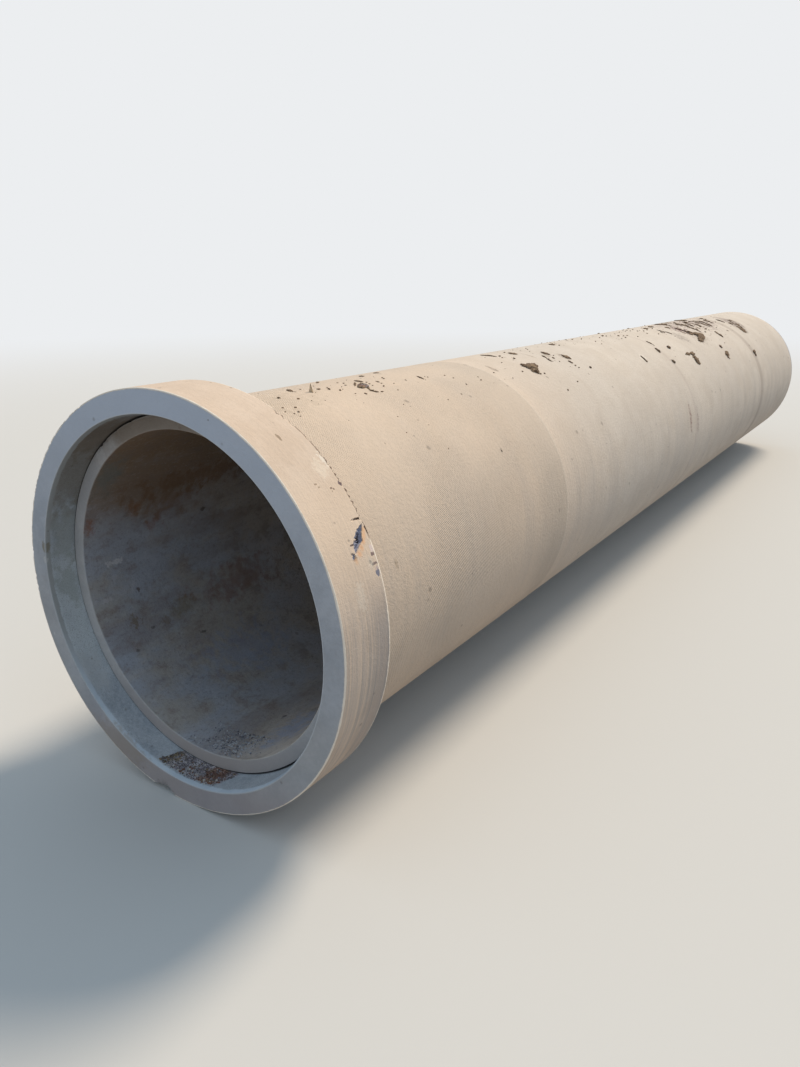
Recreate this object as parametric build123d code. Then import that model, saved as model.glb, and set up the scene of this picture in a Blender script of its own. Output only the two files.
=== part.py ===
from build123d import *
import os

# Concrete culvert pipe: a thin-walled pipe of fibre-reinforced concrete, with
# a machined spigot at each end and a jointing collar fitted on one of them.
# It lies on its side, with its axis along Y and the collar's mouth facing -Y.

# Pipe, in millimetres
pipe_length = 4000.0
bore_diameter = 600.0
barrel_wall = 34.5
spigot_wall = 26.5
spigot_bevel = 2.0
bore_arris = 1.5
shoulder_arris = 2.0

# Collar
collar_length = 116.0
collar_wall = 44.5
socket_depth = 58.0
seal_space = 4.5
lead_in_length = 9.0
lead_in_rise = 3.0
seat_lead_length = 12.0
outer_arris = 2.0
heel_arris = 2.0

# Fit between the two
seat_clearance = 0.3
shoulder_gap = 1.5

# Radii, counted outwards from the bore
bore_r = bore_diameter / 2
barrel_r = bore_r + barrel_wall
spigot_r = bore_r + spigot_wall
seat_r = spigot_r + seat_clearance
socket_r = spigot_r + seal_space
mouth_r = socket_r + lead_in_rise
collar_r = socket_r + collar_wall

# Stations along the axis. The spigot runs from the pipe's end to just past
# the collar's heel, and the far end is machined to the same length.
spigot_length = collar_length - socket_depth + shoulder_gap
overall_length = socket_depth + pipe_length
mouth_y = -overall_length / 2
heel_y = mouth_y + collar_length
near_end_y = mouth_y + socket_depth
far_end_y = near_end_y + pipe_length
axis_z = collar_r


def turned(outline):
    """One solid turned about the pipe's axis from an outline of (radius, y)."""
    points = [(radius, y, axis_z) for radius, y in outline]
    face = make_face(Polyline(*points, close=True))
    return revolve(face, Axis((0, 0, axis_z), (0, 1, 0)), 360)


def pipe():
    """The pipe: straight bore, barrel, and a bevelled spigot at each end."""
    return turned([
        (bore_r, near_end_y + bore_arris),
        (bore_r + bore_arris, near_end_y),
        (spigot_r - spigot_bevel, near_end_y),
        (spigot_r, near_end_y + spigot_bevel),
        (spigot_r, near_end_y + spigot_length),
        (barrel_r - shoulder_arris, near_end_y + spigot_length),
        (barrel_r, near_end_y + spigot_length + shoulder_arris),
        (barrel_r, far_end_y - spigot_length - shoulder_arris),
        (barrel_r - shoulder_arris, far_end_y - spigot_length),
        (spigot_r, far_end_y - spigot_length),
        (spigot_r, far_end_y - spigot_bevel),
        (spigot_r - spigot_bevel, far_end_y),
        (bore_r + bore_arris, far_end_y),
        (bore_r, far_end_y - bore_arris),
    ])


def collar():
    """The collar: lead-in, socket wall, tapered run to its seat, and heel."""
    return turned([
        (mouth_r, mouth_y),
        (collar_r - outer_arris, mouth_y),
        (collar_r, mouth_y + outer_arris),
        (collar_r, heel_y - heel_arris),
        (collar_r - heel_arris, heel_y),
        (seat_r, heel_y),
        (seat_r, near_end_y + seat_lead_length),
        (socket_r, near_end_y),
        (socket_r, mouth_y + lead_in_length),
    ])


os.makedirs("parts", exist_ok=True)
export_step(pipe(), "parts/pipe.step")
export_step(collar(), "parts/collar.step")
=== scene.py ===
import math
import random

import bmesh
import bpy
from mathutils import Matrix, Vector, noise


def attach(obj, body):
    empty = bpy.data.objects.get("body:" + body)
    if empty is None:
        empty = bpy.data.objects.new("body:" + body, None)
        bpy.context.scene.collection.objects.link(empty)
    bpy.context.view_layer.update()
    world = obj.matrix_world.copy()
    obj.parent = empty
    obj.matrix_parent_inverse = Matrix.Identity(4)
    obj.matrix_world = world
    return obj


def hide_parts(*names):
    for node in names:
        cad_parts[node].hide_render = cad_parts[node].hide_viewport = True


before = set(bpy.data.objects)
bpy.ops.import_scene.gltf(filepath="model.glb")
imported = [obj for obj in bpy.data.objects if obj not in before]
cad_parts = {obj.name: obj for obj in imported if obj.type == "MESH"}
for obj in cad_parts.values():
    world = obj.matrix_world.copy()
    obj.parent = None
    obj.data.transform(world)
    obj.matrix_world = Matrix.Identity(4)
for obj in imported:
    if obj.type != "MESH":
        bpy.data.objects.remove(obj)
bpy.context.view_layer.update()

# Sizes of the pipe and its collar in metres, as the solids have them.
BORE, SPIGOT, BARREL = 0.3, 0.3265, 0.3345
SEAT, SOCKET, MOUTH, COLLAR = 0.3268, 0.331, 0.334, 0.3755
AXIS = 0.3755
FACE_Y, LEAD_Y, END_Y, SEAT_Y, HEEL_Y = -2.029, -2.02, -1.971, -1.959, -1.913
SHOULDER_Y, FAR_SHOULDER_Y, FAR_Y = -1.9115, 1.9695, 2.029

# The three faint rings round the barrel.
NEAR_RING_Y, MID_RING_Y, FAR_RING_Y = -1.104, 0.05, 1.17


# Places on the pipe. Angles are in degrees from the top towards +X.

def on_pipe(radius, degrees, y):
    a = math.radians(degrees)
    return Vector((radius * math.sin(a), y, AXIS + radius * math.cos(a)))


def place_of(point):
    """A point's radius, its angle in degrees and its station along the pipe."""
    x, z = point.x, point.z - AXIS
    return math.hypot(x, z), math.degrees(math.atan2(x, z)), point.y


# Pieces and what stands round them

def shown(name, data):
    """An object of this mesh, lamp or camera, in the scene."""
    thing = bpy.data.objects.new(name, data)
    bpy.context.scene.collection.objects.link(thing)
    return thing


def meshed(name, bm, material):
    mesh = bpy.data.meshes.new(name)
    bm.to_mesh(mesh)
    bm.free()
    mesh.materials.append(material)
    return mesh


def finished(name, bm, material, crease=35):
    """Makes a bmesh into a painted piece that rides with the pipe."""
    mesh = meshed(name, bm, material)
    mesh.polygons.foreach_set("use_smooth", [True] * len(mesh.polygons))
    mesh.set_sharp_from_angle(angle=math.radians(crease))
    piece = shown(name, mesh)
    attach(piece, "root")
    return piece


# Nodes. Each goes into the tree of the sockets that it is given.

def colour(r, g, b):
    """A colour given as it looks, 0 to 255, in the linear values nodes take."""
    def linear(c):
        c /= 255
        return c / 12.92 if c <= 0.04045 else ((c + 0.055) / 1.055) ** 2.4
    return linear(r), linear(g), linear(b), 1


def fill(socket, value):
    if isinstance(value, bpy.types.NodeSocket):
        socket.id_data.links.new(value, socket)
    else:
        socket.default_value = value


def add(kind, inputs, **settings):
    """Adds a node, its inputs filled by name or number, and gives its outputs."""
    tree = next(v.id_data for v in inputs.values() if isinstance(v, bpy.types.NodeSocket))
    node = tree.nodes.new("ShaderNode" + kind)
    for label, setting in settings.items():
        setattr(node, label, setting)
    for label, value in inputs.items():
        fill(node.inputs[label], value)
    return node.outputs


def sums(operation, *values):
    return add("Math", dict(enumerate(values)), operation=operation)[0]


def times(first, second):
    return sums("MULTIPLY", first, second)


def arrows(operation, *values):
    """A sum on vectors: its vector, or the number it comes to."""
    vector, number = add("VectorMath", dict(enumerate(values)), operation=operation)
    return number if operation == "LENGTH" else vector


def fade(value, low, high):
    """0 at low, 1 at high, eased in between; low may be the larger."""
    return add("MapRange", {"Value": value, "From Min": low, "From Max": high},
               interpolation_type="SMOOTHSTEP")["Result"]


def between(value, low, high, soft):
    return times(fade(value, low - soft, low + soft), fade(value, high + soft, high - soft))


def cloud(place, scale, detail=3, roughness=0.55, distortion=0):
    """Cloudy noise; a scale of three numbers stretches it."""
    if isinstance(scale, tuple):
        place, scale = add("Mapping", {"Vector": place, "Scale": scale})["Vector"], 1
    return add("TexNoise", {"Vector": place, "Scale": scale, "Detail": detail,
                            "Roughness": roughness, "Distortion": distortion})["Fac"]


def mixed(share, first, second, how="MIX"):
    return add("Mix", {0: share, 6: first, 7: second}, data_type="RGBA", blend_type=how)[2]


def wash(tone, mask, share, paint):
    """Lays a colour over a tone, as strongly as the mask times the share."""
    return mixed(times(mask, share), tone, colour(*paint))


def group(name, vectors, numbers, results):
    """An empty shared effect, with the sockets that it takes and puts out."""
    tree = bpy.data.node_groups.new(name, "ShaderNodeTree")
    for label in vectors + numbers:
        kind = "NodeSocketVector" if label in vectors else "NodeSocketFloat"
        tree.interface.new_socket(label, in_out="INPUT", socket_type=kind)
    for label in results:
        tree.interface.new_socket(label, in_out="OUTPUT", socket_type="NodeSocketFloat")
    given, out = tree.nodes.new("NodeGroupInput"), tree.nodes.new("NodeGroupOutput")
    return tree, given.outputs, out.inputs


def use(effect, **values):
    """Places a shared effect in a material; underscores stand for spaces."""
    inputs = {label.replace("_", " "): value for label, value in values.items()}
    return add("Group", inputs, node_tree=effect)


def pipe_places():
    """How far out, how far along and how far round a point is."""
    tree, given, out = group("Pipe places", ["Place"], [], ["Radius", "Station", "Angle"])
    x, y, z = add("SeparateXYZ", {0: given["Place"]})
    up = sums("SUBTRACT", z, AXIS)
    fill(out["Radius"], sums("SQRT", sums("ADD", times(x, x), times(up, up))))
    fill(out["Station"], y)
    fill(out["Angle"], sums("DEGREES", sums("ARCTAN2", x, up)))
    return tree


def cast_mottle():
    """The cloudy light and dark of cast concrete, with a sandy grain over it."""
    tree, given, out = group("Cast mottle", ["Place"], ["Size"], ["Cloud", "Sand"])
    wide = cloud(given["Place"], sums("DIVIDE", 1, given["Size"]), 5, 0.6, 0.4)
    fill(out["Cloud"], fade(wide, 0.34, 0.66))
    fill(out["Sand"], cloud(given["Place"], 620, 2, 0.7))
    return tree


def turned_lines():
    """Lines that the lathe left round the axis: broad bands with fine ones on them."""
    tree, given, out = group("Turned lines", ["Place"], ["Pitch"], ["Lines", "Bands"])
    across = 7
    close = sums("DIVIDE", 1, given["Pitch"])
    scale = add("CombineXYZ", {"X": across, "Y": close, "Z": across})[0]
    place = arrows("MULTIPLY", given["Place"], scale)
    fill(out["Lines"], cloud(place, 1, 3, 0.65))
    fill(out["Bands"], cloud(place, 0.34, 3, 0.6))
    return tree


def felt_marks():
    """The staggered dimples that the felt pressed into the barrel, clear in places."""
    tree, given, out = group("Felt marks", ["Place"], ["Angle", "Station"], ["Marks"])
    a_degree, a_metre, wander = 5.1, 1250, 9
    stray = times(cloud(given["Place"], 34, 3, 0.6), wander)
    around = sums("SINE", sums("MULTIPLY_ADD", given["Angle"], a_degree, stray))
    along = sums("SINE", sums("MULTIPLY_ADD", given["Station"], a_metre, stray))
    clear = fade(cloud(given["Place"], 5, 2, 0.5), 0.36, 0.62)
    fill(out["Marks"], times(times(around, along), clear))
    return tree


def small_pits():
    """Scattered air holes, no two alike."""
    tree, given, out = group("Small pits", ["Place"], ["Spacing", "Share"], ["Pits"])
    cells = add("TexVoronoi", {"Vector": given["Place"],
                               "Scale": sums("DIVIDE", 1, given["Spacing"])})
    shade = add("SeparateColor", {0: cells["Color"]})
    widest = 0.34
    width = times(shade["Green"], widest)
    hole = fade(cells["Distance"], width, times(width, 0.4))
    fill(out["Pits"], times(hole, sums("LESS_THAN", shade["Red"], given["Share"])))
    return tree


def ragged_patch():
    """A patch about a centre with a torn edge, for stains, scuffs and chips."""
    tree, given, out = group("Ragged patch", ["Place", "Centre", "Reach"],
                             ["Tear", "Torn", "Soft"], ["Patch"])
    off = arrows("SUBTRACT", given["Place"], given["Centre"])
    far = arrows("LENGTH", arrows("DIVIDE", off, given["Reach"]))
    moved = sums("MULTIPLY_ADD", sums("SUBTRACT", given["Torn"], 0.5),
                 times(given["Tear"], 2), far)
    fill(out["Patch"], fade(moved, 1, sums("SUBTRACT", 1, given["Soft"])))
    return tree


def arris_band():
    """A line along a turned corner at a given radius and station, for worn edges, painted
    highlights and a painted shadow.
    """
    tree, given, out = group("Rubbed arris", ["Place"], [
        "Radius", "Station", "Corner radius", "Corner station", "Width"], ["Rub"])
    r = sums("SUBTRACT", given["Radius"], given["Corner radius"])
    y = sums("SUBTRACT", given["Station"], given["Corner station"])
    far = sums("SQRT", sums("ADD", times(r, r), times(y, y)))
    uneven = sums("MULTIPLY_ADD", cloud(given["Place"], 46, 4, 0.7), 1.6, 0.2)
    wide = times(given["Width"], uneven)
    fill(out["Rub"], fade(far, wide, times(wide, 0.45)))
    return tree


PLACES, MOTTLE, LINES, FELT, PITS, PATCH, ARRIS = (
    pipe_places(), cast_mottle(), turned_lines(), felt_marks(), small_pits(), ragged_patch(),
    arris_band())


def new_material(name):
    """An empty material, its shader and the place on the piece."""
    material = bpy.data.materials.new(name)
    material.use_nodes = True
    nodes = material.node_tree.nodes
    nodes.clear()
    shader = nodes.new("ShaderNodeBsdfPrincipled")
    shader.inputs["Specular IOR Level"].default_value = 0.3
    fill(nodes.new("ShaderNodeOutputMaterial").inputs["Surface"], shader.outputs[0])
    return material, shader, nodes.new("ShaderNodeTexCoord").outputs["Object"]


def dress(shader, tone, dull, *heights):
    """Colour, roughness, and bumps one on another, each (height, depth in metres)."""
    fill(shader.inputs["Base Color"], tone)
    fill(shader.inputs["Roughness"], dull)
    below = {}
    for height, depth in heights:
        bump = add("Bump", {"Strength": 1, "Distance": depth, "Height": height, **below})
        below = {"Normal": bump["Normal"]}
    fill(shader.inputs["Normal"], below["Normal"])


def along_arris(at, corner_radius, corner_station, width):
    return use(ARRIS, Corner_radius=corner_radius, Corner_station=corner_station, Width=width,
               **at)["Rub"]


def stained(place, tone, radius, marks, grain, soft=0.28, hold=None):
    """Lays marks on a tone, each (angle, station, reach, tear, colour, share).

    Stations, reaches and the grain of their edges are in millimetres. Where hold
    is given, it says how well the surface takes them.
    """
    torn = cloud(place, 1000 / grain, 4, 0.65)
    for degrees, y, reach, tear, paint, share in marks:
        patch = use(PATCH, Place=place, Centre=on_pipe(radius, degrees, y / 1000),
                    Reach=[side / 1000 for side in reach], Tear=tear, Torn=torn,
                    Soft=soft)["Patch"]
        if hold is not None:
            patch = times(patch, hold)
        tone = wash(tone, patch, share, paint)
    return tone


def collar_concrete():
    """Collar: turned outside, smooth grey face, gritty socket, broken places."""
    material, shader, place = new_material("collar_concrete")
    radius, station, angle = use(PLACES, Place=place)
    at = {"Place": place, "Radius": radius, "Station": station}
    mottle = use(MOTTLE, Place=place, Size=0.07)
    wide = use(MOTTLE, Place=place, Size=0.3)["Cloud"]
    lines = use(LINES, Place=place, Pitch=0.003)
    pits = use(PITS, Place=place, Spacing=0.014, Share=0.1)["Pits"]
    coarse = fade(cloud(place, 150, 3, 0.7), 0.38, 0.64)
    height = add("SeparateXYZ", {0: place})["Z"]

    # The face is bluer and lighter towards the top, which is painted sky light, and darker and
    # browner near the ground, which is painted shade with a painted reflection of the ground.
    face = mixed(mottle["Cloud"], colour(163, 167, 174), colour(181, 184, 190))
    face = wash(face, wide, 0.5, (173, 169, 163))
    face = wash(face, coarse, 0.22, (150, 152, 156))
    face = wash(face, fade(height, 0.4, 0.74), 0.75, (190, 199, 214))
    face = wash(face, fade(height, 0.17, 0.04), 0.5, (168, 149, 143))
    outside = mixed(mottle["Cloud"], colour(210, 189, 169), colour(219, 199, 180))
    outside = wash(outside, wide, 0.35, (225, 202, 180))
    outside = wash(outside, coarse, 0.14, (188, 169, 148))
    # A lighter band on the flank, 50 to 70 degrees round, is painted sunlight.
    outside = wash(outside, between(angle, 50, 70, 12), 0.6, (234, 211, 187))
    # Low on the side, from 70 degrees round, the real turned lines are painted darker and bluer,
    # and the surface near the heel darker still: painted shade.
    low = fade(angle, 70, 88)
    scored = times(fade(lines["Lines"], 0.44, 0.7), sums("MULTIPLY_ADD", low, 0.38, 0.1))
    outside = mixed(scored, outside, colour(150, 145, 140))
    banded = times(fade(lines["Bands"], 0.34, 0.66), low)
    outside = wash(outside, banded, 0.3, (146, 148, 154))
    low_heel_shade = times(low, fade(station, HEEL_Y - 0.062, HEEL_Y - 0.012))
    outside = wash(outside, low_heel_shade, 0.45, (132, 133, 138))
    socket = mixed(mottle["Cloud"], colour(158, 166, 176), colour(182, 189, 196))
    socket = stained(place, socket, SOCKET, [
        (-103, -1992, (160, 200, 300), 0.4, (214, 221, 222), 0.58)], 30, 0.9)
    socket = wash(socket, coarse, 0.4, (204, 209, 214))
    socket = wash(socket, fade(mottle["Sand"], 0.46, 0.36), 0.6, (122, 124, 124))
    # The lead-in is painted lighter and bluer as sky light falling on it, and grey at the bottom.
    lead_in_sky_lit = mixed(fade(height, 0.3, 0.1), colour(158, 160, 160),
                 mixed(mottle["Cloud"], colour(186, 197, 208), colour(202, 211, 220)))

    # Soil stained the upper left of the socket olive brown.
    socket = stained(place, socket, SOCKET, [
        (-76, -1985, (40, 50, 100), 1.4, (128, 130, 118), 0.35),
        (-96, -1990, (40, 30, 60), 1.6, (130, 136, 126), 0.35),
        (-44, -1992, (190, 200, 170), 0.6, (126, 116, 100), 0.66),
        (-30, -1992, (160, 200, 80), 0.9, (112, 94, 74), 0.5),
        (-126, -2008, (50, 30, 50), 1.2, (186, 188, 190), 0.5)], 30, 0.5)

    tone = mixed(fade(radius, COLLAR - 0.0029, COLLAR - 0.0013), face, outside)
    inside = fade(radius, MOUTH + 0.0006, MOUTH - 0.0002)
    tone = mixed(inside, tone, lead_in_sky_lit)
    worn = sums("MULTIPLY_ADD", cloud(place, 40, 4, 0.65), 0.007, station)
    tone = mixed(times(inside, fade(worn, LEAD_Y + 0.0018, LEAD_Y + 0.0044)), tone, socket)
    # The taper behind the pipe's end is painted dark: painted shade in the joint gap.
    gap = times(fade(station, END_Y + 0.0012, END_Y + 0.0042),
                fade(radius, SOCKET + 0.002, SOCKET + 0.001))
    tone = wash(tone, gap, 0.9, (66, 61, 58))

    # Broken concrete: blue-grey painted shade, darker and browner where it is deep and dark brown
    # along the crack, which is painted shade too; grey near the face.
    broken = times(between(radius, MOUTH + 0.0025, COLLAR - 0.0017, 0.0004),
                   between(station, FACE_Y + 0.0022, HEEL_Y - 0.0006, 0.0004))
    fresh_and_shaded = mixed(mottle["Sand"], colour(160, 163, 182), colour(190, 191, 206))
    fresh_and_shaded = mixed(fade(radius, COLLAR - 0.0071, COLLAR - 0.0095), fresh_and_shaded, colour(100, 84, 76))
    fresh_and_shaded = mixed(fade(angle, 60.6, 60.2), fresh_and_shaded, colour(92, 74, 64))
    fresh_and_shaded = mixed(fade(station, FACE_Y + 0.039, FACE_Y + 0.019), fresh_and_shaded, colour(164, 162, 158))

    # Scuffs, smears and dust, each where it lies; with them, painted shadow in the heel's chips
    # and a painted reflection of the ground on the face's rim.
    tone = stained(place, tone, COLLAR, [
        (64.4, -1959, (2.4, 6, 1.6), 0.7, (92, 78, 74), 0.9),
        (66.3, -1966.8, (3, 3, 2), 1, (124, 108, 100), 0.8),
        (67.5, -1963, (3, 5, 7), 1.2, (130, 104, 84), 0.6),
        (66.9, -1919.5, (4, 5, 11), 1, (230, 212, 208), 0.7),
        (71.6, -1921.5, (3, 4, 4), 1, (190, 172, 174), 0.6),
        (76, -1972, (14, 12, 30), 1.5, (232, 220, 204), 0.35),
        (43, -1919, (16, 7, 14), 1.2, (236, 226, 212), 0.75),
        (45, -1938, (22, 14, 20), 1.4, (232, 217, 198), 0.5),
        (50.5, -1943.5, (2, 2.4, 2), 1.1, (128, 106, 92), 0.9),
        (50.9, -1939, (1.6, 2.2, 1.8), 1.1, (136, 114, 98), 0.85),
        (51.3, -1944.5, (1.4, 1.6, 1.8), 1.1, (140, 118, 104), 0.8),
        (48.5, -1969, (1.6, 3.4, 1.8), 1.2, (156, 134, 112), 0.8),
        (49.4, -1966, (1.6, 3, 1.8), 1.2, (156, 134, 112), 0.7),
        (50, -1917.8, (7, 5, 6), 0.8, (100, 84, 88), 0.95),
        (34, -1967, (10, 4, 6), 1.4, (146, 126, 104), 0.8),
        (68.1, -1920.8, (3, 5.5, 3.4), 1.2, (120, 100, 100), 0.85),
        (70.4, -1923.5, (3, 8.5, 2.4), 1.2, (118, 102, 100), 0.85),
        (72.7, -1920.5, (4, 6.2, 6.8), 1, (110, 116, 138), 0.85)], 6)
    tone = stained(place, tone, COLLAR, [
        (62.2, -1921.5, (7, 6, 10), 0.4, (234, 184, 138), 0.8),
        (63.4, -1926.2, (7, 7, 10), 0.4, (234, 184, 138), 0.8),
        (64.6, -1932.2, (7, 8, 10), 0.4, (234, 182, 136), 0.8),
        (65.8, -1941, (7, 8, 10), 0.4, (232, 180, 136), 0.8),
        (66.9, -1950, (7, 8, 10), 0.4, (230, 180, 138), 0.8),
        (68.1, -1962, (6, 7, 10), 0.6, (226, 183, 145), 0.7),
        (69.9, -1932, (8, 9, 18), 0.8, (212, 205, 192), 0.5)], 7, 0.9)
    # Dark dashes along the heel are painted shadow in its chips.
    tone = stained(place, tone, COLLAR, [
        (44.2 + 0.9 * i, -1916, (6, 2.2 + 0.2 * i, 5), 0.8, (98, 78, 66), 0.85)
        for i in range(7)] + [
        (52 + 1.4 * i, -1915.2, (6, 3.4, 6.2), 0.8, (86, 68, 60), 0.9)
        for i in range(5)], 3)
    tone = stained(place, tone, MOUTH + 0.002, [
        (-81, -2026, (8, 9, 15), 0.8, (128, 120, 100), 0.7),
        (-85.4, -2029, (9, 5, 7), 1, (204, 202, 198), 0.42)], 8)
    tone = stained(place, tone, COLLAR - 0.0135, [
        (-110.5, -2029, (3, 3, 6), 0.9, (206, 205, 202), 0.6),
        (21, -2029, (2, 3, 2), 0.8, (104, 96, 90), 0.8),
        # A brown tint low on the face's rim is a painted reflection of the ground.
        (-150, -2029, (110, 12, 50), 0.9, (160, 146, 132), 0.5)], 12, 0.5)
    tone = mixed(broken, tone, fresh_and_shaded)
    # A dark line along the heel, 25 to 64.5 degrees round, is painted shadow of its chipped edge.
    heel_shadow_line = times(along_arris(at, COLLAR, HEEL_Y, 0.0046), between(angle, 25, 64.5, 1.5))
    # The bright lines on the front corner, wider on the left, and on the heel, wider past 61
    # degrees, are painted highlights.
    front = sums("MULTIPLY_ADD", between(angle, -105, -40, 8), 0.0014, 0.003)
    rear = sums("MULTIPLY_ADD", fade(angle, 61, 67), 0.0022, 0.0026)
    rub_and_glint = sums("MAXIMUM", along_arris(at, COLLAR, FACE_Y, front), along_arris(at, COLLAR, HEEL_Y, rear))
    # A lighter line on the mouth's corner is a painted highlight.
    tone = wash(tone, along_arris(at, MOUTH, FACE_Y, 0.0022), 0.6, (200, 203, 206))
    tone = wash(tone, rub_and_glint, 0.95, (248, 236, 220))
    tone = wash(tone, heel_shadow_line, 0.85, (112, 88, 70))
    # Dark marks in the heel's knocks, 59 to 64 degrees round, are painted shade.
    tone = stained(place, tone, COLLAR, [
        (59.1, -1914.8, (8, 3, 5), 0.6, (78, 62, 56), 0.95),
        (60.2, -1914.5, (8, 2.8, 6), 0.6, (74, 60, 56), 0.95),
        (61.9, -1915.8, (5, 2.6, 4.2), 0.6, (76, 58, 48), 0.95),
        (62.9, -1914.8, (4, 2.4, 4.2), 0.6, (80, 62, 50), 0.95),
        (64.3, -1914, (3, 1.2, 7), 0.8, (140, 112, 86), 0.8)], 3)
    # The pits are painted darker: painted shade in the holes.
    tone = wash(tone, pits, 0.4, (110, 104, 98))
    outward = fade(radius, COLLAR - 0.0027, COLLAR - 0.0013)
    dress(shader, tone, sums("MULTIPLY_ADD", mottle["Sand"], 0.2, 0.74),
          (times(lines["Lines"], outward), 0.0004), (times(lines["Bands"], outward), 0.0005),
          (coarse, 0.0002), (mottle["Sand"], 0.0003), (times(pits, -1), 0.0006),
          (times(cloud(place, 260, 4, 0.7), broken), 0.0035))
    return material


def pipe_concrete():
    """Pipe: felt-marked barrel, clean sawn end, stained bore."""
    material, shader, place = new_material("pipe_concrete")
    radius, station, angle = use(PLACES, Place=place)
    at = {"Place": place, "Radius": radius, "Station": station}
    mottle = use(MOTTLE, Place=place, Size=0.1)
    wide = use(MOTTLE, Place=place, Size=0.42)["Cloud"]
    pits = use(PITS, Place=place, Spacing=0.024, Share=0.09)["Pits"]
    marks = use(FELT, Place=place, Angle=angle, Station=station)["Marks"]
    coarse = fade(cloud(place, 140, 3, 0.7), 0.38, 0.64)
    strokes = cloud(place, (4, 120, 4), 4, 0.62)
    runs = fade(cloud(place, (2.2, 20, 2.2), 4, 0.6), 0.4, 0.72)

    # The felt marks are clear as far as the near ring and faint beyond it.
    near = fade(station, NEAR_RING_Y + 0.003, NEAR_RING_Y - 0.003)
    felt = sums("MULTIPLY_ADD", near, 0.7, 0.3)
    band = times(fade(station, NEAR_RING_Y - 0.22, NEAR_RING_Y), near)
    ring_line = between(station, NEAR_RING_Y - 0.002, NEAR_RING_Y + 0.003, 0.002)
    far_band = between(station, FAR_RING_Y - 0.01, FAR_RING_Y + 0.044, 0.018)
    mid_line = between(station, MID_RING_Y - 0.008, MID_RING_Y + 0.008, 0.01)
    barrel = mixed(mottle["Cloud"], colour(206, 196, 184), colour(216, 207, 196))
    # The near part is warmer, partly its own tone and partly painted sunlight.
    warm = fade(station, NEAR_RING_Y + 0.5, NEAR_RING_Y - 0.3)
    barrel = mixed(sums("MULTIPLY_ADD", warm, 0.6, 0.15), barrel, colour(222, 197, 172))
    barrel = wash(barrel, wide, 0.24, (198, 189, 180))
    barrel = wash(barrel, coarse, 0.16, (182, 168, 150))
    barrel = wash(barrel, runs, sums("MULTIPLY_ADD", fade(angle, 50, 85), 0.16, 0.07),
                  (172, 164, 158))
    barrel = wash(barrel, near, 0.1, (180, 168, 152))
    barrel = wash(barrel, band, 0.24, (180, 168, 154))
    barrel = wash(barrel, ring_line, 0.2, (226, 220, 210))
    barrel = wash(barrel, far_band, 0.55, (172, 158, 146))
    barrel = wash(barrel, mid_line, 0.3, (178, 162, 154))
    barrel = wash(barrel, fade(marks, 0.15, 0.8), times(felt, 0.3), (168, 154, 138))

    # Rubbed-in mud under the lumps, and two thin runs down the side.
    hold = sums("MULTIPLY_ADD", fade(cloud(place, (110, 60, 110), 4, 0.7), 0.42, 0.58), 0.75, 0.4)
    barrel = stained(place, barrel, BARREL, [
        (17, 590, (50, 65, 50), 1.4, (130, 104, 102), 0.9),
        (25, 440, (50, 50, 40), 1.3, (158, 146, 136), 0.75),
        (7, 780, (100, 340, 60), 2.2, (146, 126, 122), 0.5),
        (15, 1020, (60, 140, 50), 2.2, (146, 126, 122), 0.5),
        (11, 1395, (50, 50, 40), 0.9, (164, 150, 142), 0.7),
        (19.5, 1395, (50, 95, 40), 0.8, (148, 133, 126), 0.85),
        (26.5, 1390, (46, 95, 40), 0.8, (136, 121, 113), 0.9),
        (32.5, 1370, (36, 55, 35), 0.8, (120, 106, 96), 0.9),
        (30, 640, (50, 90, 50), 1.4, (160, 148, 136), 0.5),
        (11, -781, (30, 8, 20), 1.2, (160, 142, 126), 0.6),
        (34, -158, (22, 26, 20), 1, (228, 218, 204), 0.7),
        (6, -810, (14, 20, 12), 1.2, (140, 124, 110), 0.7),
        (14, -700, (22, 22, 12), 1.3, (140, 124, 110), 0.75),
        (19.5, -640, (24, 18, 12), 1.3, (140, 124, 110), 0.75),
        (2, -910, (26, 8, 8), 1.3, (150, 134, 118), 0.6),
        (78.5, -18, (60, 14, 60), 1, (150, 122, 114), 0.7),
        (81, 68, (60, 11, 48), 1, (150, 126, 120), 0.6),
        (75, -1817, (10, 6, 12), 1.2, (156, 138, 116), 0.6),
        (55.5, -1350, (5, 4, 6), 0.9, (122, 106, 94), 0.8),
        (17, -1055, (30, 10, 12), 1.4, (140, 124, 110), 0.7),
        (11, -1790, (60, 100, 30), 1.9, (196, 178, 158), 0.6)], 16, 0.4, hold)

    # The bore: brown overhead, blue-grey low down, streaked along its length.
    along = cloud(place, (9, 1.8, 9), 5, 0.62)
    blotch = cloud(place, (8, 5, 8), 5, 0.65)
    speck = cloud(place, (190, 110, 190), 3, 0.7)
    across, _, upright = add("SeparateXYZ", {0: place})
    height = sums("ADD", upright, times(sums("SUBTRACT", along, 0.5), 0.3))
    over = fade(height, 0.36, 0.6)
    bore = mixed(fade(blotch, 0.38, 0.62), colour(164, 169, 180), colour(170, 165, 160))
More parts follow.
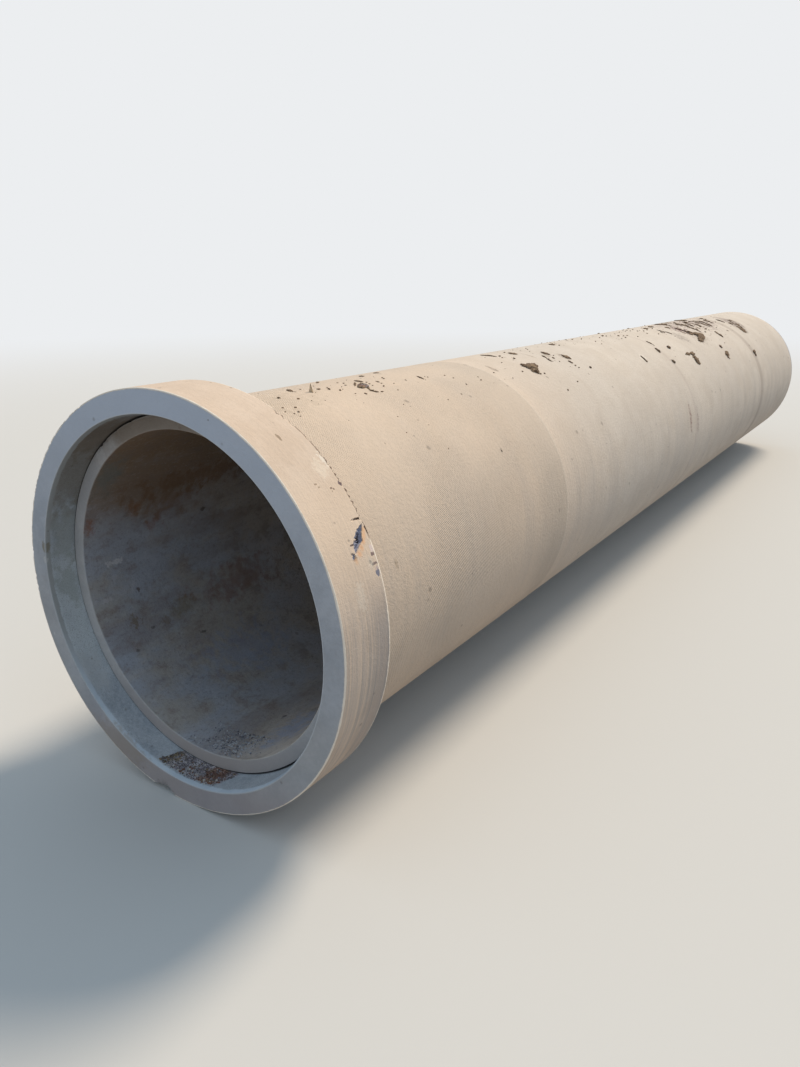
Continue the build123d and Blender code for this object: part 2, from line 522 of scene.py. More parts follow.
    # Lighter towards +X and deeper in: painted light, for light reflected onto the right wall and
    # into the depth of the bore.
    bore = mixed(fade(across, -0.1, 0.26), bore, colour(212, 198, 184))
    bore = wash(bore, fade(station, -1.75, -1.1), 0.7, (226, 208, 190))
    bore = mixed(over, bore, colour(140, 117, 94))
    daub = cloud(place, (30, 20, 30), 4, 0.68)
    bore = wash(bore, fade(daub, 0.5, 0.66), 0.42, (130, 116, 106))
    bore = wash(bore, fade(daub, 0.46, 0.34), sums("MULTIPLY_ADD", over, -0.18, 0.26),
                (190, 194, 202))
    bore = wash(bore, fade(along, 0.52, 0.66), 0.35, (128, 112, 102))
    bore = wash(bore, fade(speck, 0.52, 0.68), 0.34, (114, 106, 102))
    bore = wash(bore, fade(speck, 0.44, 0.32), 0.16, (204, 202, 200))
    bore = stained(place, bore, BORE, [
        (-74.5, -1960, (40, 18, 24), 1.2, (136, 88, 64), 0.75),
        (-64, -1640, (120, 320, 36), 1.9, (126, 94, 68), 0.6),
        (-52, -1945, (90, 50, 80), 0.8, (120, 124, 120), 0.65),
        (-66, -1760, (50, 90, 40), 1.4, (124, 98, 74), 0.6),
        (-71.3, -1853, (30, 34, 22), 0.9, (132, 88, 48), 0.8),
        (-80, -1800, (30, 30, 18), 1.6, (138, 106, 92), 0.55),
        (-73, -1760, (90, 110, 45), 1.5, (126, 98, 78), 0.55),
        (-117, -1590, (120, 160, 50), 1.6, (136, 104, 92), 0.6),
        (-119, -1770, (40, 50, 22), 1.6, (134, 124, 100), 0.55),
        (-146, -1690, (90, 150, 70), 1.6, (150, 160, 184), 0.5),
        (159, -1840, (60, 110, 40), 1.4, (160, 172, 198), 0.6)], 22, 0.9)
    bore = stained(place, bore, BORE, [
        (-91.5, -1899, (20, 26, 8), 1.6, (204, 204, 206), 0.75),
        (-105, -1941, (20, 20, 6), 1.6, (192, 192, 196), 0.5),
        (-105.3, -1861, (6, 6, 7), 1.3, (104, 94, 90), 0.85),
        (-81, -1664, (6, 10, 7), 1.3, (96, 84, 78), 0.8),
        (-127.3, -1916, (5, 6, 5), 1.3, (104, 98, 98), 0.8),
        (-121.5, -1860, (4, 7, 4), 1.3, (104, 98, 98), 0.75),
        (-131.5, -1753, (4, 9, 4), 1.3, (100, 94, 92), 0.8),
        (171.5, -1802, (6, 12, 4), 1.3, (96, 90, 90), 0.8),
        (-116.5, -1893, (20, 16, 14), 1.7, (126, 112, 96), 0.7),
        (-121, -1826, (20, 20, 10), 1.7, (126, 112, 96), 0.6)], 9, 0.6)
    ring = mixed(mottle["Cloud"], colour(172, 171, 172), colour(188, 186, 185))
    ring = wash(ring, fade(upright, 0.22, 0.06), 0.75, (162, 150, 145))
    ring = wash(ring, coarse, 0.2, (154, 152, 152))
    ring = stained(place, ring, BORE + 0.015, [
        (-8, -1971, (260, 50, 120), 0.6, (134, 120, 104), 0.75)], 40, 0.6)

    out = fade(radius, BARREL - 0.0045, BARREL - 0.0035)
    tone = mixed(fade(radius, BORE + 0.0008, BORE + 0.0018), bore, ring)
    tone = mixed(out, tone, barrel)
    rub_and_glint = sums("MAXIMUM", along_arris(at, SPIGOT - 0.001, END_Y, 0.0026),
               along_arris(at, BORE, END_Y, 0.0024))
    tone = wash(tone, rub_and_glint, 0.25, (190, 188, 186))
    # The spigot inside the collar is painted dark: painted shade in the joint gap.
    gap = between(station, END_Y + 0.0034, SHOULDER_Y - 0.001, 0.0008)
    tone = wash(tone, gap, fade(radius, SPIGOT - 0.0015, SPIGOT - 0.0007), (62, 57, 54))
    # The pits are painted darker: painted shade in the holes.
    tone = wash(tone, pits, 0.45, (118, 106, 96))
    dress(shader, tone, sums("MULTIPLY_ADD", mottle["Sand"], 0.2, 0.74),
          (times(marks, times(felt, out)), 0.00045), (times(strokes, out), 0.0005),
          (coarse, 0.0003), (mottle["Sand"], 0.0003), (times(pits, -1), 0.0005))
    return material


def soil(name, grains, *shades):
    """Dried soil: clods of one shade against another, dusty grains over them."""
    material, shader, place = new_material(name)
    grain = cloud(place, grains, 4, 0.72)
    patchy = cloud(place, grains / 9, 3, 0.6)
    dark, plain, dusty = (colour(*shade) for shade in shades)
    tone = mixed(fade(patchy, 0.4, 0.6), plain, dusty)
    tone = mixed(fade(grain, 0.54, 0.4), tone, dark)
    dress(shader, tone, sums("MULTIPLY_ADD", grain, 0.15, 0.8), (grain, 0.0014))
    return material, shader, place, tone


def socket_soil():
    """Soil washed into the socket: olive at one end, grey, then red-brown."""
    material, shader, place, grey = soil(
        "socket_soil", 400, (60, 56, 56), (150, 145, 152), (194, 190, 196))
    across = add("SeparateXYZ", {0: place})["X"]
    x = sums("MULTIPLY_ADD", cloud(place, 60, 4, 0.7), 0.07, sums("SUBTRACT", across, 0.035))
    white = colour(255, 255, 255)
    olive = mixed(fade(x, -0.062, -0.04), colour(206, 194, 160), white)
    red = mixed(between(x, 0.02, 0.064, 0.01), white, colour(214, 178, 156))
    tinted = mixed(1, grey, olive, "MULTIPLY")
    fill(shader.inputs["Base Color"], mixed(1, tinted, red, "MULTIPLY"))
    return material


def small_stones(name, *paints):
    """Small stones, each cell of the pattern its own colour."""
    material, shader, place = new_material(name)
    cells = add("TexVoronoi", {"Vector": place, "Scale": 150})
    pick = add("SeparateColor", {0: cells["Color"]})["Red"]
    grain = cloud(place, 600, 2, 0.6)
    tone = mixed(grain, colour(*paints[0]), colour(*(0.85 * c for c in paints[0])))
    for i, paint in enumerate(paints[1:], 1):
        tone = mixed(sums("LESS_THAN", pick, 1 - i / len(paints)), tone, colour(*paint))
    dress(shader, tone, sums("MULTIPLY_ADD", grain, 0.2, 0.7), (grain, 0.0005))
    return material


# Shapes

# How fine the noise of a nick and of a tear is, in cells a metre.
NICK_GRAIN, TEAR_GRAIN = 230, 420


def turned(outline, steps):
    """Turns an outline of (radius, station, divisions to the next) about the axis."""
    bm = bmesh.new()
    verts = [bm.verts.new((r, y, AXIS)) for r, y, _ in outline]
    runs = [(bm.edges.new((verts[i], verts[(i + 1) % len(verts)])), outline[i][2])
            for i in range(len(outline))]
    for edge, divisions in runs:
        if divisions > 1:
            bmesh.ops.subdivide_edges(bm, edges=[edge], cuts=divisions - 1)
    bmesh.ops.spin(bm, geom=bm.verts[:] + bm.edges[:], cent=(0, 0, AXIS), axis=(0, 1, 0),
                   angle=math.tau, steps=steps, use_merge=True)
    bmesh.ops.recalc_face_normals(bm, faces=bm.faces[:])
    return bm


def round_corners(bm, corners, width):
    """Rounds the turned corners at these (radius, station)."""
    picked = []
    for edge in bm.edges:
        ends = [place_of(v.co) for v in edge.verts]
        if any(all(abs(r - cr) < 2e-4 and abs(y - cy) < 2e-4 for r, _, y in ends)
               for cr, cy in corners):
            picked.append(edge)
    bmesh.ops.bevel(bm, geom=picked, offset=width, offset_type="OFFSET", segments=3, profile=0.5,
                    affect="EDGES", material=-1)


def picked_out(bm, angles, stations, radii):
    """The vertices between two angles, two stations and two radii."""
    found = []
    for vert in bm.verts:
        if stations[0] < vert.co.y < stations[1]:
            r, degrees, _ = place_of(vert.co)
            if radii[0] < r < radii[1] and (degrees - angles[0]) % 360 < angles[1] - angles[0]:
                found.append(vert)
    return found


def finer(bm, angles, stations, radii, cuts):
    """Divides the surface more closely in one region, so that damage has room."""
    inside = set(picked_out(bm, angles, stations, radii))
    edges = [e for e in bm.edges if e.verts[0] in inside and e.verts[1] in inside]
    bmesh.ops.subdivide_edges(bm, edges=edges, cuts=cuts, use_grid_fill=True)


def inwards(degrees, back=0):
    """From the surface towards the axis, leaning back from the mouth."""
    return (Vector((0, 0, AXIS)) - on_pipe(1, degrees, 0) + Vector((0, back, 0))).normalized()


def knock(verts, radius, degrees, y, reach, deep, lean, seed):
    """Knocks a ragged nick in about a point; its reach and depth are in millimetres."""
    centre, reach = on_pipe(radius, degrees, y), reach / 1000
    push = inwards(degrees, lean) * deep / 1000
    for vert in verts:
        gap = (vert.co - centre).length
        if gap < 1.6 * reach:
            rough = noise.noise(vert.co * NICK_GRAIN + Vector((seed * 3.7, 0, 0)))
            left = 1 - gap / reach - 0.5 * rough
            if left > 0:
                vert.co += push * min(1, left * 1.8) * (1 + 0.4 * rough)


def reading(table, at, column):
    """Reads a table of rows between the two rows that hold the place."""
    for low, high in zip(table, table[1:]):
        if low[0] <= at <= high[0]:
            share = (at - low[0]) / (high[0] - low[0])
            return low[column] + share * (high[column] - low[column])
    return None


# The tear in the collar's outside near its heel: angle, front station, rear
# station and depth, lengths in millimetres. A thin crack runs in above it and a
# small chip lies below.
TEAR = [
    (60.7, -1920, -1918.5, 2), (61.5, -1935.5, -1921.5, 6), (62.7, -1945, -1927.5, 9),
    (63.7, -1950, -1932, 10), (64.4, -1954.5, -1931.8, 10), (64.8, -1955.5, -1939.5, 9),
    (65.3, -1957, -1945, 8), (66.2, -1958.5, -1952.5, 4), (66.7, -1958, -1955, 1)]
CHIP = [(66.1, -1967.2, -1966, 1), (66.6, -1968, -1959, 3), (67.4, -1969, -1962, 3.5),
        (68.2, -1968.5, -1967.5, 1)]
CRACK = [(58.9, -1936, -1935, 1), (59.1, -1941, -1912.8, 3), (59.4, -1939, -1912.8, 3),
         (59.6, -1922, -1912.8, 3), (60.2, -1916.5, -1912.8, 3), (61.2, -1916, -1912.8, 2)]


def tear_open(verts, table, ragged):
    """Tears a surface open as a table says; ragged is how far the edges stray."""
    for vert in verts:
        _, degrees, y = place_of(vert.co)
        y *= 1000
        jag = ragged * noise.noise(Vector((degrees * 1.9, y * 0.18, 0.3)))
        front = reading(table, degrees, 1)
        if front is None:
            continue
        front += jag
        rear = reading(table, degrees, 2) + 0.35 * jag
        if front < y < rear:
            lip = min(y - front, (rear - y) * 1.6)
            eased = min(1, lip / 2.2) * (0.35 + 0.85 * (y - front) / (rear - front))
            deep = reading(table, degrees, 3) / 1000
            rough = noise.noise(vert.co * TEAR_GRAIN)
            vert.co += inwards(degrees) * deep * eased * (0.9 + 0.4 * rough)


collar_bm = turned([
    (MOUTH, FACE_Y, 10), (COLLAR, FACE_Y, 40), (COLLAR, HEEL_Y, 6), (SEAT, HEEL_Y, 3),
    (SEAT, SEAT_Y, 2), (SOCKET, END_Y, 8), (SOCKET, LEAD_Y, 2)], 720)
round_corners(collar_bm, [(COLLAR, FACE_Y), (COLLAR, HEEL_Y)], 0.0018)
finer(collar_bm, (57, 77), (-1.985, -1.9128), (0.3735, 0.38), 3)
finer(collar_bm, (-178, -164), (-2.03, -2.012), (0.352, 0.38), 2)
finer(collar_bm, (-100, -26), (-2.03, -2.0225), (0.3708, 0.38), 2)
finer(collar_bm, (22, 57), (-1.925, -1.9128), (0.3735, 0.38), 1)

tear_region = picked_out(collar_bm, (57, 77), (-1.985, -1.91), (0.3, 0.38))
for table, ragged in [(CRACK, 0), (TEAR, 4.5), (CHIP, 2)]:
    tear_open(tear_region, table, ragged)

# The bite out of the front arris, low on the left.
bite_region = picked_out(collar_bm, (-178, -163), (-2.03, -2.008), (0.345, 0.38))
for degrees, reach, deep in [(-168.8, 14, 2), (-170.6, 17, 3.6), (-172.2, 17, 4.6),
                             (-173.9, 12, 2.6)]:
    knock(bite_region, COLLAR, degrees, FACE_Y, reach, deep, 0.45, degrees)

# Small knocks: the left of the front arris, then the heel arris.
rng = random.Random(11)
rim_region = picked_out(collar_bm, (-100, -26), (-2.03, -2.018), (0.362, 0.38))
for i in range(70):
    degrees = rng.uniform(-98, -28)
    knock(rim_region, COLLAR, degrees, FACE_Y, rng.uniform(1.8, 4.2), rng.uniform(0.4, 1.3),
          0.8, i)
heel_region = picked_out(collar_bm, (20, 62), (-1.928, -1.91), (0.362, 0.38))
for i, (degrees, reach, deep) in enumerate([
        (26.2, 9, 2.2), (28.6, 7, 2.6), (31, 8, 1.8), (36.5, 5, 1.8), (41.8, 6, 2), (44.6, 6, 3),
        (46.5, 6, 2.6), (48.2, 5, 3), (49.5, 5, 4), (51, 6, 3.4), (53, 5, 2.4), (54.4, 5, 3),
        (56.2, 5, 2.6), (58, 6, 3), (59.6, 6, 3.4)]):
    knock(heel_region, COLLAR, degrees, HEEL_Y, reach, deep, -0.8, i + 40)
collar_piece = finished("collar_ring", collar_bm, collar_concrete())
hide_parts("collar")

# The pipe: a shade thinner between its rings, which leaves a faint step.
SLIM = BARREL - 0.0005
pipe_bm = turned([
    (BORE, END_Y, 4), (SPIGOT, END_Y, 6), (SPIGOT, SHOULDER_Y, 2), (BARREL, SHOULDER_Y, 12),
    (BARREL, NEAR_RING_Y - 0.002, 1), (SLIM, NEAR_RING_Y + 0.001, 30),
    (SLIM, FAR_RING_Y - 0.01, 2), (SLIM - 0.0005, FAR_RING_Y + 0.01, 2),
    (SLIM, FAR_RING_Y + 0.034, 12), (SLIM, FAR_SHOULDER_Y, 2), (SPIGOT, FAR_SHOULDER_Y, 4),
    (SPIGOT, FAR_Y, 4), (BORE, FAR_Y, 50)], 480)
round_corners(pipe_bm, [
    (BORE, END_Y), (SPIGOT, END_Y), (BORE, FAR_Y), (SPIGOT, FAR_Y), (BARREL, SHOULDER_Y),
    (SLIM, FAR_SHOULDER_Y)], 0.0015)
end_region = picked_out(pipe_bm, (-60, 20), (-1.975, -1.962), (0.32, 0.33))
for i, (degrees, reach, deep) in enumerate([
        (-39.5, 7, 2), (-37, 6, 1.2), (-30, 5, 1), (-22, 5, 1)]):
    knock(end_region, SPIGOT, degrees, END_Y, reach, deep, 0.8, i + 80)
pipe_piece = finished("pipe_barrel", pipe_bm, pipe_concrete())
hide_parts("pipe")


# Soil on the pipe. Each lump is laid on the round surface that carries it.

def lump(bm, surface, degrees, y, round_, along, high, seed, turn=0, finest=1, point=1.6):
    """One crumb or flake on a surface, round_ wide around the pipe and along long.

    Its station and sizes are in millimetres. Its plan runs from a diamond, point
    1, to an oval, point 2, with a torn outline.
    """
    y, round_, along, high = y / 1000, round_ / 1000, along / 1000, high / 1000
    made = bmesh.ops.create_icosphere(bm, subdivisions=finest, radius=1)["verts"]
    turned_by, inner = math.radians(turn), -1 if surface in (BORE, SOCKET) else 1
    for vert in made:
        x, z = math.hypot(vert.co.x, vert.co.y), vert.co.z
        a = math.atan2(vert.co.y, vert.co.x)
        c, s = math.cos(a), math.sin(a)
        x *= (abs(c) ** point + abs(s) ** point) ** (-1 / point)
        x *= 1 + 0.42 * noise.noise(Vector((1.9 * c, 1.9 * s, seed)))
        rough = noise.noise(Vector((2.6 * x * c, 2.6 * x * s, seed + 5 * z)))
        u, v = x * c * round_ / 2, x * s * along / 2
        u, v = (u * math.cos(turned_by) - v * math.sin(turned_by),
                u * math.sin(turned_by) + v * math.cos(turned_by))
        w = max(-0.0012, high * (0.3 + 0.62 * z + 0.55 * rough))
        vert.co = on_pipe(surface + inner * w, degrees + math.degrees(u / surface), y + v)


# The larger clods and flakes: angle, station, size round the pipe, size along
# it, height, turn, and how pointed. Lengths are in millimetres.
CLODS = [(5.2, -1518, 20, 9, 2.2, 15, 1.1), (7.3, -1547, 40, 6, 1.6, -52, 1.2),
         (9.7, -1543.6, 9, 12, 5, 10, 1.4), (11.4, -1556, 13, 22, 3.4, 10, 1.3),
         (13, -1547, 22, 6, 2.2, -38, 1.1), (15.2, -1553.3, 13, 6, 2, 7, 1.1),
         (16.5, -1549, 12, 6, 2, 54, 1.2), (17.3, -1534, 4, 10, 1.4, 0, 1.2),
         (1.5, -1706, 28, 10, 1.8, -20, 1.1), (-3, -1388, 16, 9, 1.6, 10, 1.2),
         (-1.2, -1456.5, 13, 12, 1.8, 10, 1.2), (12.8, -1351, 24, 6, 1.8, -8, 1.1),
         (22.2, -893, 36, 44, 6.5, 0, 1.8), (20, -911, 18, 24, 4, 0, 1.5),
         (21.3, -868, 22, 30, 5, 15, 1.4), (25.3, -905, 28, 28, 5, 60, 1.3),
         (1.8, -912, 50, 6, 2, 4, 1.2), (5.4, -811, 30, 22, 2.2, 0, 1.2),
         (12.8, -689, 28, 18, 2.5, 5, 1.2), (16, -736, 22, 7, 2, -20, 1.1),
         (19.8, -748, 22, 6, 2, -10, 1.1), (18.8, -708, 10, 8, 2, 0, 1.2),
         (20.2, -634, 28, 26, 3, 10, 1.3), (24.7, -662, 20, 10, 2, 5, 1.1),
         (27.9, -665, 6, 8, 1.5, 0, 1.2), (29.8, -663, 5, 8, 1.5, 0, 1.2),
         (2, -500, 20, 30, 2, 40, 1.2), (34.8, -164, 34, 6, 2.5, -6, 1.2),
         (37.2, -166, 10, 10, 3, 0, 1.2), (24, 69, 30, 8, 2, 10, 1.1),
         (30.6, 40, 14, 14, 3, 20, 1.1), (32.6, 36, 14, 18, 5, 40, 1.2),
         (31.7, 168, 16, 24, 5, 0, 1.5), (42.7, 63, 18, 14, 5, 30, 1.4),
         (40.3, 284, 16, 50, 3, -10, 1.2), (41, 330, 18, 56, 4, -10, 1.2),
         (43.6, 318, 14, 34, 4, 0, 1.2), (46.3, 316, 28, 50, 6, 10, 1.2),
         (48.6, 314, 14, 30, 4, 0, 1.1), (22.6, 630, 30, 26, 3, 17, 1.2),
         (24.4, 604, 18, 50, 3, 0, 1.2), (26.6, 668, 32, 100, 6, -10, 1.3),
         (29.6, 650, 38, 104, 9, 10, 1.3), (32.5, 598, 26, 66, 6, 0, 1.2),
         (48.6, 758, 26, 54, 5, 10, 1.2), (51, 742, 18, 30, 4, 20, 1.1),
         (42.1, 754, 18, 24, 4, 0, 1.4), (54.4, 1214, 20, 40, 5, 0, 1.2),
         (57.2, 1206, 18, 20, 4, 30, 1.1), (29, 922, 20, 22, 3, 30, 1.1),
         (32.6, 922, 30, 22, 4, 5, 1.1), (31.7, -598, 8, 10, 3, 0, 1.6),
         (4, 372, 20, 34, 3, 0, 1.3), (2, 476, 20, 26, 3, 0, 1.3), (1.2, 640, 52, 22, 3, 3, 1.2),
         (9.9, 540, 20, 22, 3, 30, 1.3), (13.6, 395, 30, 6, 2, 6, 1.2),
         (18, 412, 28, 6, 2, 12, 1.2), (16, 590, 44, 18, 3, 15, 1.1),
         (20.6, 600, 26, 20, 3, 15, 1.1), (-3.4, 997, 70, 24, 3, 12, 1.1),
         (6.4, 886, 18, 30, 3, 20, 1.2), (12.4, 758, 26, 20, 3, -20, 1.1),
         (15.6, 742, 24, 18, 3, -30, 1.1), (14.6, 810, 22, 18, 3, -30, 1.1),
         (18.8, 742, 24, 16, 3, -30, 1.1), (15.6, 892, 42, 16, 3, -25, 1.1),
         (12, 1044, 44, 16, 3, -25, 1.1), (18, 1018, 44, 18, 4, -25, 1.1),
         (15, 980, 36, 12, 3, -25, 1.1), (4.3, 1203, 20, 22, 3, 0, 1.2),
         (12.4, 1128, 60, 18, 3, -25, 1.1), (22.5, 871, 10, 26, 3, 0, 1.2),
         (15.8, 1281, 46, 12, 3, -4, 1.1)]

rng = random.Random(5)
clods_bm = bmesh.new()
for degrees, y, round_, along, high, turn, point in CLODS:
    lump(clods_bm, BARREL, degrees, y, round_, along, high, rng.uniform(0, 99), turn, 3, point)
    for i in range(2):
        beside = rng.uniform(-0.6, 0.6) * math.degrees(round_ / 1000 / BARREL)
        lump(clods_bm, BARREL, degrees + beside, y + rng.uniform(-0.6, 0.6) * along,
             0.24 * round_, 0.24 * along, 0.4 * high, rng.uniform(0, 99), rng.uniform(-90, 90),
             2, 1.3)

# The mud dragged over the crown: short streaks, most of them running round the
# pipe, then a long swoosh that ends in a dark tail.
for i in range(60):
    y, middle = rng.gauss(0.8, 0.22), rng.gauss(9, 8)
    if 0.32 < y < 1.24 and -16 < middle < 25 - 22 * abs(y - 0.72):
        width = rng.uniform(20, 40) if rng.random() < 0.35 else rng.uniform(6, 18)
        lump(clods_bm, BARREL, middle, 1000 * y, width, rng.uniform(4, 10), rng.uniform(1, 2.2),
             rng.uniform(0, 99), rng.uniform(-30, 16), 2, rng.uniform(1, 1.5))
for i in range(26):
    share = rng.random() ** 0.5
    y = 1385 - 45 * share * share + rng.uniform(-60, 70) * (1.2 - share)
    lump(clods_bm, BARREL, 16 + 21 * share, y, rng.uniform(12, 34), rng.uniform(8, 20),
         rng.uniform(1, 3), rng.uniform(0, 99), rng.uniform(-16, 16), 2, 1.2)
clay = soil("clay", 300, (86, 67, 52), (120, 98, 77), (148, 126, 101))[0]
finished("clay_clods", clods_bm, clay, crease=24)

# Crumbs, each (angle, station, size) in millimetres; then smaller ones at random.
crumbs_bm = bmesh.new()
for degrees, y, size in [
        (7.3, -1775, 9), (-3.6, -1587, 11), (6, -1653, 10), (2.3, -1681, 5), (10.9, -1746, 8),
        (16.1, -1789, 8), (18.9, -1799, 7), (19.3, -1813, 5), (21.3, -1810, 4), (17.4, -1824, 5),
        (14.8, -1814, 6), (6.9, -1575, 6), (2.4, -1567, 5), (4.4, -1562, 6), (7.8, -1511, 6),
        (9.7, -1516, 6), (11.5, -1520, 5), (8.6, -1483, 5), (11.2, -1486, 6), (13.9, -1501, 5),
        (18.3, -1485, 5), (14.8, -1266, 6), (23.9, -1254, 6), (23.8, -963, 7), (8.5, -908, 7),
        (1, -808, 8), (16.5, -679, 7), (22.6, -713, 6), (28.3, -880, 8), (37.7, -764, 8),
        (38.6, -1612, 4), (48.5, -1528, 4), (31.5, -1591, 4), (26.8, -1534, 4), (55.8, -1350, 6),
        (16.5, 304, 10), (3, -82, 12), (8.4, -10, 12), (14.7, -272, 6), (10.1, -258, 8)]:
    lump(crumbs_bm, BARREL, degrees, y, size * 0.8, size * 0.6, size * 0.24, degrees,
         7 * degrees, 2)
for middle, spread, degrees, reach, count in [
        (-1.62, 0.16, 9, 9, 40), (-1.05, 0.3, 16, 12, 30), (-0.1, 0.4, 3, 8, 90),
        (0.75, 0.35, 20, 14, 80)]:
    for i in range(count):
        y = rng.gauss(middle, spread)
        if y > HEEL_Y + 0.02:
            size = 1.4 + 3.4 * rng.random() ** 3
            lump(crumbs_bm, BARREL, rng.gauss(degrees, reach), 1000 * y,
                 size * rng.uniform(0.8, 2.4), size, size * 0.6, rng.uniform(0, 99),
                 rng.uniform(-40, 40))
crumbly = soil("crumbs", 500, (98, 78, 60), (126, 103, 82), (148, 126, 102))[0]
finished("clay_crumbs", crumbs_bm, crumbly, crease=24)

# A thin splinter of stone stuck upright beside the collar.
splinter_bm = bmesh.new()
bmesh.ops.create_cone(splinter_bm, cap_ends=True, segments=6, radius1=0.0055,
                      radius2=0.0003, depth=0.018)
for vert in splinter_bm.verts:
    w, u, v = vert.co.z + 0.0075, vert.co.x * 1.2, vert.co.y * 0.5
    w -= 0.4 * abs(u)
    vert.co = on_pipe(BARREL + w, 7.2 + math.degrees((u - 0.16 * w) / BARREL),
                      -1.683 + v - 0.1 * w)
pale_stone = soil("splinter_stone", 500, (168, 144, 116), (206, 182, 150), (222, 202, 174))[0]
finished("splinter", splinter_bm, pale_stone, crease=20)

# Soil and stones in the bottom of the socket, from the lead-in to the pipe's
# end: angle, front and rear, in metres. The bottom is at 180 degrees.
HEAP = [
    (165, -1.9735, -1.973), (167, -1.99, -1.9712), (168.2, -2.012, -1.9708),
    (172, -2.019, -1.9708), (180, -2.0202, -1.9708), (188, -2.02, -1.9709),
    (190.8, -2.019, -1.971), (191.8, -2.018, -1.977), (192.6, -2.015, -1.993),
    (193.4, -2.012, -2.004), (194, -2.008, -2.0075)]


def heap_height(degrees, y):
    """How high the heap stands at a place, in metres; below 0 there is none."""
    front = reading(HEAP, degrees, 1)
    if front is None:
        return -0.002
    rear = reading(HEAP, degrees, 2)
    rough = noise.noise(Vector((degrees * 0.55, y * 95, 7)))
    fine = noise.noise(Vector((degrees * 1.5, y * 260, 3)))
    grit = noise.noise(Vector((degrees * 4.2, y * 730, 5)))
    lip = min((y - front) / 0.014, (degrees - HEAP[0][0]) / 3,
              (HEAP[-1][0] - degrees) / 2.5, 1)
    if rear < -1.972:
        lip = min(lip, (rear - y) / 0.007)
    back = 0.0012 + 0.0026 * (y + 2.021) / 0.05
    bare = 0.0022 * max(0, 0.55 - lip - 0.8 * fine)
    return min(0.0044, back * (1 + 0.6 * rough) * min(1, lip + 0.35) + 0.0011 * fine
               + 0.0006 * grit - bare)


heap_bm = bmesh.new()
bmesh.ops.create_grid(heap_bm, x_segments=200, y_segments=80, size=1)
for vert in heap_bm.verts:
    degrees, y = 180 + 15.4 * vert.co.x, -1.9957 + 0.0247 * vert.co.y
    vert.co = on_pipe(SOCKET - max(-0.0006, heap_height(degrees, y)), degrees, y)
sunk = [f for f in heap_bm.faces if all(place_of(v.co)[0] > SOCKET + 0.0004 for v in f.verts)]
bmesh.ops.delete(heap_bm, geom=sunk, context="FACES")
bmesh.ops.recalc_face_normals(heap_bm, faces=heap_bm.faces[:])
finished("socket_heap", heap_bm, socket_soil(), crease=60)

stones_bm, pale_bm = bmesh.new(), bmesh.new()
for i in range(420):
    degrees, y = rng.uniform(165.5, 194.8), rng.uniform(-2.019, -1.9735)
    high = heap_height(degrees, y)
    if high > (0.0003 if i % 6 else -0.0018):
        size = 1.3 + 3.2 * rng.random() ** 2
        lump(pale_bm if rng.random() < 0.1 else stones_bm, SOCKET, degrees, 1000 * y,
             size * 1.4, size * rng.uniform(1, 1.7), size * 0.8 + 600 * max(0, high),
             rng.uniform(0, 99), rng.uniform(-90, 90))
lump(stones_bm, BARREL, 10.4, -1544.5, 22, 34, 3.6, 3, 20, 3, 1.7)
for degrees, y, size in [(182.5, -2001.5, 5.6), (169.9, -2003, 4.5), (178.2, -1985, 4)]:
    lump(pale_bm, SOCKET, degrees, y, size, size, size, degrees, 0, 2)
pale = small_stones("stones_pale", (206, 202, 196), (172, 168, 164))
finished("stones_pale", pale_bm, pale)

# Grit and mortar crumbs in the bottom of the bore, just inside the end.
grit_bm = bmesh.new()
for i in range(640):
    degrees, y = rng.gauss(175.5, 6.5), rng.uniform(-1967, -1885)
    size = 1.1 + 1.9 * rng.random() ** 2
    lump(grit_bm, BORE, degrees, y, size * rng.uniform(0.8, 1.3), size * rng.uniform(1, 2.4),
         size * 0.8, rng.uniform(0, 99), rng.uniform(-40, 40))
gritty = small_stones("grit", (170, 174, 184), (146, 149, 158), (194, 197, 204),
                      (112, 112, 120))
finished("bore_grit", grit_bm, gritty)
dark = small_stones("stones_dark", (148, 146, 154), (112, 108, 110), (122, 108, 90),
                    (122, 92, 80))
finished("stones_dark", stones_bm, dark)


# Floor, backdrop, light and camera

BACKDROP = colour(236, 238, 240)


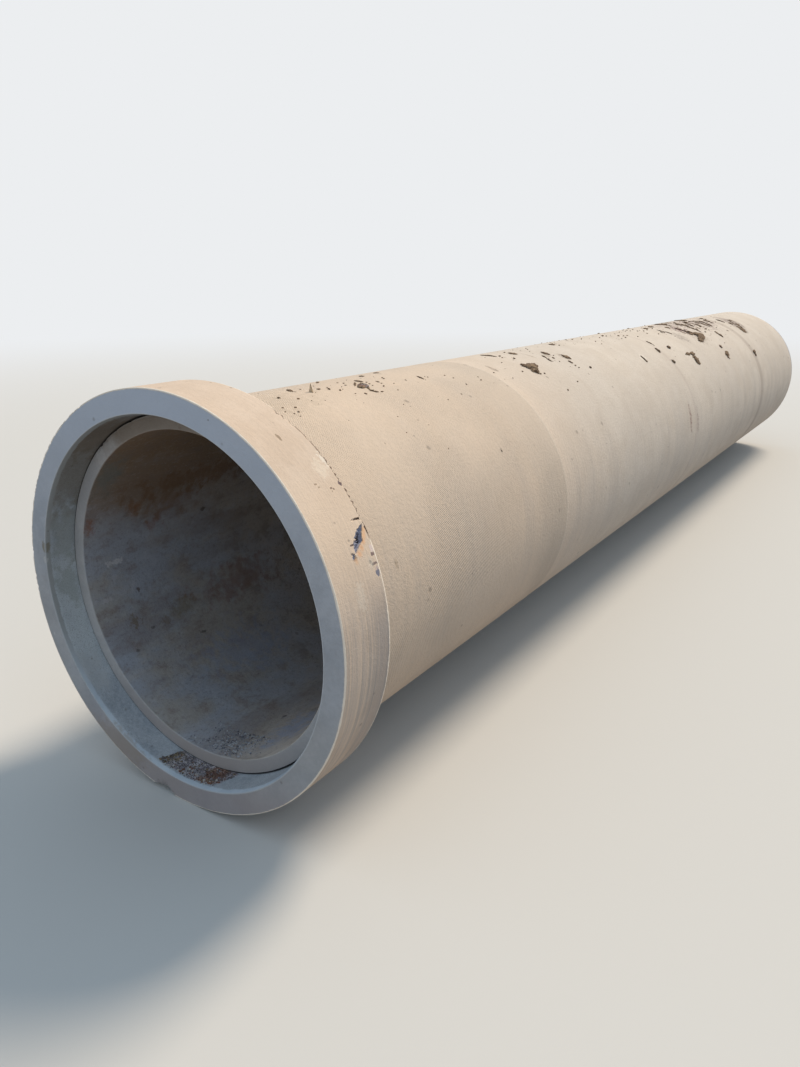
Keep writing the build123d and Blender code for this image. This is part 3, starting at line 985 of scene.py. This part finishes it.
def floor_paint():
    """Pale matt floor that fades into the backdrop a long way out."""
    material, shader, place = new_material("floor_paint")
    shader.inputs["Roughness"].default_value = 0.9
    nodes = material.node_tree.nodes
    glow = nodes.new("ShaderNodeEmission")
    glow.inputs["Color"].default_value = BACKDROP
    seen = nodes.new("ShaderNodeLightPath").outputs["Is Camera Ray"]
    fill(shader.inputs["Base Color"], mixed(seen, colour(160, 156, 152), colour(206, 205, 202)))
    far = times(fade(arrows("LENGTH", place), 2.6, 11), seen)
    blend = add("MixShader", {"Fac": far, 1: shader.outputs[0], 2: glow.outputs[0]})
    fill(nodes["Material Output"].inputs["Surface"], blend[0])
    return material


floor_bm = bmesh.new()
bmesh.ops.create_circle(floor_bm, cap_ends=True, segments=96, radius=60)
shown("floor", meshed("floor", floor_bm, floor_paint()))

world = bpy.data.worlds.new("studio")
bpy.context.scene.world = world
world.use_nodes = True
sky = world.node_tree.nodes
sky.clear()
lit, seen_sky = sky.new("ShaderNodeBackground"), sky.new("ShaderNodeBackground")
lit.inputs["Color"].default_value = (0.7, 0.85, 1, 1)
lit.inputs["Strength"].default_value = 0.62
seen_sky.inputs["Color"].default_value = BACKDROP
ray = sky.new("ShaderNodeLightPath").outputs
clear = sums("MAXIMUM", ray["Is Glossy Ray"], ray["Is Transmission Ray"])
clear = sums("MAXIMUM", ray["Is Camera Ray"], clear)
blend = add("MixShader", {"Fac": clear, 1: lit.outputs[0], 2: seen_sky.outputs[0]})
fill(sky.new("ShaderNodeOutputWorld").inputs["Surface"], blend[0])

# One broad soft lamp, from behind the camera's left, high up.
key = bpy.data.lights.new("key", "SUN")
key.energy = 3
key.angle = math.radians(18)
key.color = (1, 0.85, 0.67)
TOWARDS = Vector((-0.13, -0.65, -0.75))
shown("key", key).rotation_euler = TOWARDS.to_track_quat("-Z", "Y").to_euler()

# The camera stands where the photograph was taken: its place, and its sides
# to the right, up and back.
CAMERA_AT = Vector((1.0299, -2.8752, 0.9241))
RIGHT, UP, BACK = (0.8339, 0.5518, 0), (-0.1689, 0.2552, 0.952), (0.5254, -0.7939, 0.3061)
camera = shown("camera", bpy.data.cameras.new("camera"))
camera.data.lens = 27.6
camera.data.sensor_width = 36
camera.matrix_world = Matrix.LocRotScale(
    CAMERA_AT, Matrix((RIGHT, UP, BACK)).transposed(), None)
bpy.context.scene.camera = camera
bpy.context.scene.view_settings.view_transform = "Standard"

bpy.context.view_layer.update()
